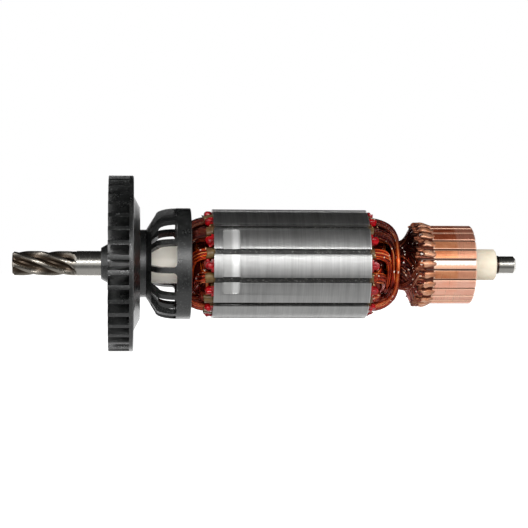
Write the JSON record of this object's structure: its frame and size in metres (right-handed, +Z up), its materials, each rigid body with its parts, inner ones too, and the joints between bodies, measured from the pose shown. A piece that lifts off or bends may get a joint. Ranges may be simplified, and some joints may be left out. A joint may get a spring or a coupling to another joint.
{
  "type": "motor armature",
  "caption": "Wound motor armature: shaft with helical pinion, cooling fan with winding guard, slotted laminated core, copper windings and bar commutator.",
  "frame": {"origin": "on the shaft's axis, in the middle of the drive bearing seat next to the pinion", "axes": "+X along the shaft from the pinion towards the commutator's journal, +Z up, -Y towards the side that shows the balancing cut"},
  "size_m": [0.2027, 0.0704, 0.0704],
  "materials": {
    "turned_steel": "turned and ground",
    "cream_plastic": "moulded, satin",
    "black_nylon": "moulded, satin, slightly grainy",
    "core_steel": "ground laminations",
    "red_fibre": "resin-coated, glossy",
    "phenolic": "moulded",
    "bar_copper": "copper, turned on the brush track",
    "enamelled_wire": "copper wire under red-brown enamel and resin",
    "paper": "insulating paper, resin-soaked"
  },
  "bodies": {
    "root": {"shaft": "turned_steel", "insulating_sleeve": "cream_plastic", "fan": "black_nylon", "winding_guard": "black_nylon", "lamination_stack": "core_steel", "end_insulator_drive": "red_fibre", "end_insulator_commutator": "red_fibre", "commutator_hub": "phenolic", "slot_wedges": "paper", "lead_wires": "enamelled_wire", "coil_01": "enamelled_wire", "coil_02": "enamelled_wire", "coil_03": "enamelled_wire", "coil_04": "enamelled_wire", "coil_05": "enamelled_wire", "coil_06": "enamelled_wire", "coil_07": "enamelled_wire", "coil_08": "enamelled_wire", "coil_09": "enamelled_wire", "coil_10": "enamelled_wire", "coil_11": "enamelled_wire", "coil_12": "enamelled_wire", "slot_liner_01": "paper", "slot_liner_02": "paper", "slot_liner_03": "paper", "slot_liner_04": "paper", "slot_liner_05": "paper", "slot_liner_06": "paper", "slot_liner_07": "paper", "slot_liner_08": "paper", "slot_liner_09": "paper", "slot_liner_10": "paper", "slot_liner_11": "paper", "slot_liner_12": "paper", "commutator_bar_01": "bar_copper", "commutator_bar_02": "bar_copper", "commutator_bar_03": "bar_copper", "commutator_bar_04": "bar_copper", "commutator_bar_05": "bar_copper", "commutator_bar_06": "bar_copper", "commutator_bar_07": "bar_copper", "commutator_bar_08": "bar_copper", "commutator_bar_09": "bar_copper", "commutator_bar_10": "bar_copper", "commutator_bar_11": "bar_copper", "commutator_bar_12": "bar_copper", "commutator_bar_13": "bar_copper", "commutator_bar_14": "bar_copper", "commutator_bar_15": "bar_copper", "commutator_bar_16": "bar_copper", "commutator_bar_17": "bar_copper", "commutator_bar_18": "bar_copper", "commutator_bar_19": "bar_copper", "commutator_bar_20": "bar_copper", "commutator_bar_21": "bar_copper", "commutator_bar_22": "bar_copper", "commutator_bar_23": "bar_copper", "commutator_bar_24": "bar_copper"}
  },
  "joints": []
}
